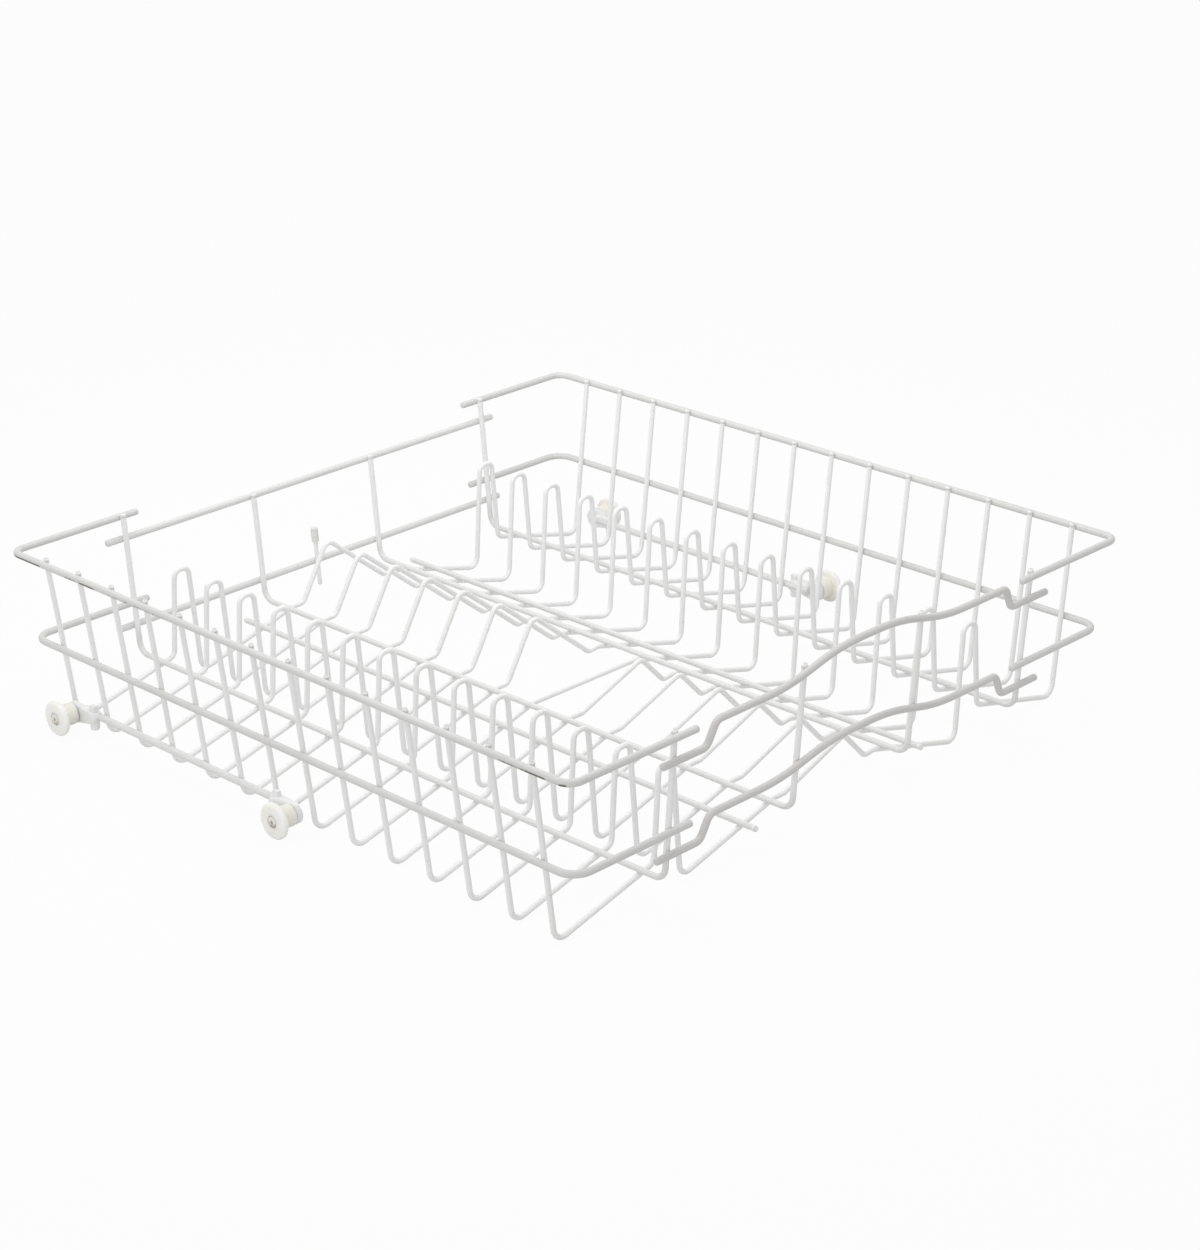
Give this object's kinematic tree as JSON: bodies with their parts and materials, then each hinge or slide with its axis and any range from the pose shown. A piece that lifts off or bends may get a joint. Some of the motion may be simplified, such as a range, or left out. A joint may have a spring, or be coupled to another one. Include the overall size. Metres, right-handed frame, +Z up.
{
  "type": "dishwasher upper basket",
  "caption": "Open coated-wire upper basket for a dishwasher, with sloped side shelves, folded tines, a ridged middle and nylon rollers on both sides.",
  "frame": {"origin": "on the ground under the middle of the basket, level with the lowest bends of the cross wires", "axes": "+Z up, +X to the right side seen from the front, -Y to the front with the arched wires"},
  "size_m": [0.5372, 0.5351, 0.1345],
  "materials": {
    "coated_wire": "satin",
    "bracket_plastic": "satin",
    "roller_nylon": "satin",
    "axle_plastic": "satin",
    "cap_plastic": "satin"
  },
  "bodies": {
    "basket": {"rim_left": "coated_wire", "rim_right": "coated_wire", "mid_rim_left": "coated_wire", "mid_rim_right": "coated_wire", "rear_top_wire": "coated_wire", "rear_mid_wire": "coated_wire", "front_top_wire": "coated_wire", "front_mid_wire": "coated_wire", "runner_1": "coated_wire", "runner_2": "coated_wire", "runner_3": "coated_wire", "runner_4": "coated_wire", "floor_wire_left": "coated_wire", "floor_wire_right": "coated_wire", "rail_left": "coated_wire", "rail_right": "coated_wire", "rear_pin": "coated_wire", "lateral_01": "coated_wire", "lateral_02": "coated_wire", "lateral_03": "coated_wire", "lateral_04": "coated_wire", "lateral_05": "coated_wire", "lateral_06": "coated_wire", "lateral_07": "coated_wire", "lateral_08": "coated_wire", "lateral_09": "coated_wire", "lateral_10": "coated_wire", "lateral_11": "coated_wire", "lateral_12": "coated_wire", "lateral_13": "coated_wire", "lateral_14": "coated_wire", "pin_cap": "cap_plastic", "bracket_rear_left": "bracket_plastic", "bracket_front_left": "bracket_plastic", "bracket_rear_right": "bracket_plastic", "bracket_front_right": "bracket_plastic", "axle_rear_left": "axle_plastic", "axle_front_left": "axle_plastic", "axle_rear_right": "axle_plastic", "axle_front_right": "axle_plastic"},
    "roller_rear_left": {"roller_rear_left": "roller_nylon"},
    "roller_front_left": {"roller_front_left": "roller_nylon"},
    "roller_rear_right": {"roller_rear_right": "roller_nylon"},
    "roller_front_right": {"roller_front_right": "roller_nylon"}
  },
  "joints": [
    {"name": "spin_rear_left", "type": "hinge", "parent": "basket", "child": "roller_rear_left", "pos_m": [-0.25864, 0.2187, 0.0132], "axis": [1, 0, 0], "continuous": true},
    {"name": "spin_front_left", "type": "hinge", "parent": "basket", "child": "roller_front_left", "pos_m": [-0.25864, -0.00815, 0.0132], "axis": [1, 0, 0], "continuous": true},
    {"name": "spin_rear_right", "type": "hinge", "parent": "basket", "child": "roller_rear_right", "pos_m": [0.25864, 0.2187, 0.0132], "axis": [1, 0, 0], "continuous": true},
    {"name": "spin_front_right", "type": "hinge", "parent": "basket", "child": "roller_front_right", "pos_m": [0.25864, -0.00815, 0.0132], "axis": [1, 0, 0], "continuous": true}
  ]
}
